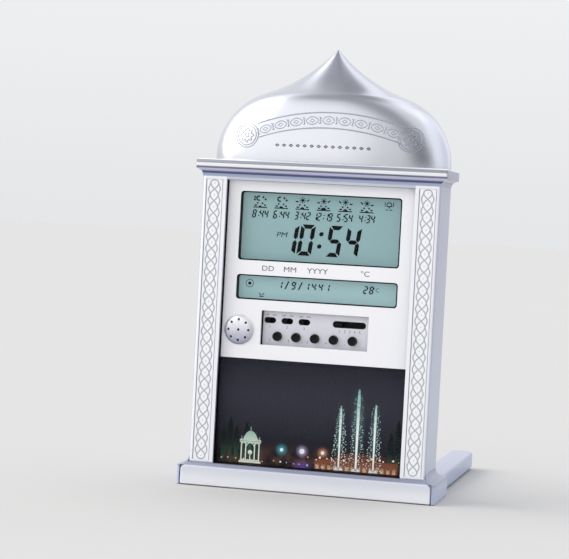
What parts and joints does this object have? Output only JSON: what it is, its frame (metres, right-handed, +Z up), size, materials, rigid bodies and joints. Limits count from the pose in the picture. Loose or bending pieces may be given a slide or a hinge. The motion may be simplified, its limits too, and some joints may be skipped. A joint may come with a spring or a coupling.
{
  "type": "azan clock",
  "caption": "Digital azan table clock shaped like a domed gateway, with an upper and a lower display, picture panel, keys, slide switches, speaker and plug-in rear feet.",
  "frame": {"origin": "on the table under the middle of the whole footprint, base and feet together", "axes": "front faces -Y, the feet run out along +Y, +Z is up to the dome's tip, +X is the viewer's right"},
  "size_m": [0.15, 0.181, 0.2546],
  "materials": {
    "pearl_plastic": "pearly silver-white moulded plastic",
    "housing_plastic": "pearly bluish silver moulded plastic",
    "base_plastic": "pearly bluish silver moulded plastic",
    "silver_paint": "metallic silver lacquer on moulded plastic",
    "black_plastic": "black moulded plastic",
    "key_plastic": "black glossy plastic",
    "clear_plastic": "clear moulded window",
    "display_glass": "grey-teal liquid crystal glass",
    "light_panel": "milky light guide",
    "inner_plastic": "unpainted plastic inside the case",
    "soft_strip": "conductive rubber strip",
    "board": "green circuit board",
    "zinc": "zinc-plated steel",
    "cone_film": "pressed film cone",
    "magnet": "sintered magnet in a steel cup",
    "picture_paper": "printed sheet with a night scene",
    "rubber": "dark soft rubber",
    "battery_steel": "steel can in a printed sleeve"
  },
  "bodies": {
    "clock": {"base_shell": "base_plastic", "base_front": "pearl_plastic", "base_cover": "base_plastic", "base_pads": "rubber", "base_screws": "zinc", "front_housing": "housing_plastic", "pilaster_left": "pearl_plastic", "pilaster_right": "pearl_plastic", "panel_liner": "black_plastic", "front_panel": "pearl_plastic", "upper_rim": "black_plastic", "lower_rim": "black_plastic", "upper_lens": "clear_plastic", "lower_lens": "clear_plastic", "upper_display": "display_glass", "lower_display": "display_glass", "upper_light": "light_panel", "lower_light": "light_panel", "display_holder": "inner_plastic", "contact_strips": "soft_strip", "main_board": "board", "board_chips": "black_plastic", "board_screws": "zinc", "speaker_grille": "silver_paint", "speaker_basket": "zinc", "speaker_cone": "cone_film", "speaker_magnet": "magnet", "control_tray": "black_plastic", "control_plate": "silver_paint", "key_board": "board", "key_switches": "black_plastic", "slide_switches": "black_plastic", "slider_body": "black_plastic", "ribbon_cable": "inner_plastic", "picture_cover": "clear_plastic", "picture_print": "picture_paper", "picture_back": "inner_plastic", "back_cover": "housing_plastic", "batteries": "battery_steel", "battery_contacts": "zinc", "case_screws": "zinc", "cornice": "silver_paint", "cornice_screws": "zinc", "dome_front": "silver_paint", "dome_back": "silver_paint"},
    "key_1_body": {"key_1": "key_plastic"},
    "key_2_body": {"key_2": "key_plastic"},
    "key_3_body": {"key_3": "key_plastic"},
    "key_4_body": {"key_4": "key_plastic"},
    "key_5_body": {"key_5": "key_plastic"},
    "switch_1_body": {"switch_knob_1": "key_plastic"},
    "switch_2_body": {"switch_knob_2": "key_plastic"},
    "switch_3_body": {"switch_knob_3": "key_plastic"},
    "slider": {"slider_knob": "key_plastic"},
    "door": {"battery_door": "housing_plastic"},
    "left_foot": {"foot_left": "base_plastic", "foot_pad_left": "rubber"},
    "right_foot": {"foot_right": "base_plastic", "foot_pad_right": "rubber"}
  },
  "joints": [
    {"name": "key_1_press", "type": "slide", "parent": "clock", "child": "key_1_body", "axis": [0, 1, 0], "range_m": [0, 0.0008], "stiffness_N_per_m": 1500},
    {"name": "key_2_press", "type": "slide", "parent": "clock", "child": "key_2_body", "axis": [0, 1, 0], "range_m": [0, 0.0008], "stiffness_N_per_m": 1500},
    {"name": "key_3_press", "type": "slide", "parent": "clock", "child": "key_3_body", "axis": [0, 1, 0], "range_m": [0, 0.0008], "stiffness_N_per_m": 1500},
    {"name": "key_4_press", "type": "slide", "parent": "clock", "child": "key_4_body", "axis": [0, 1, 0], "range_m": [0, 0.0008], "stiffness_N_per_m": 1500},
    {"name": "key_5_press", "type": "slide", "parent": "clock", "child": "key_5_body", "axis": [0, 1, 0], "range_m": [0, 0.0008], "stiffness_N_per_m": 1500},
    {"name": "switch_1_slide", "type": "slide", "parent": "clock", "child": "switch_1_body", "axis": [1, 0, 0], "range_m": [0, 0.003]},
    {"name": "switch_2_slide", "type": "slide", "parent": "clock", "child": "switch_2_body", "axis": [1, 0, 0], "range_m": [0, 0.003]},
    {"name": "switch_3_slide", "type": "slide", "parent": "clock", "child": "switch_3_body", "axis": [1, 0, 0], "range_m": [0, 0.003]},
    {"name": "slider_slide", "type": "slide", "parent": "clock", "child": "slider", "axis": [1, 0, 0], "range_m": [0, 0.012]},
    {"name": "battery_door_hinge", "type": "hinge", "parent": "clock", "child": "door", "pos_m": [0, -0.0516, 0.022], "axis": [-1, 0, 0], "range_deg": [0, 90]},
    {"name": "foot_left_pull", "type": "slide", "parent": "clock", "child": "left_foot", "axis": [0, 1, 0], "range_m": [0, 0.035]},
    {"name": "foot_right_pull", "type": "slide", "parent": "clock", "child": "right_foot", "axis": [0, 1, 0], "range_m": [0, 0.035]}
  ]
}
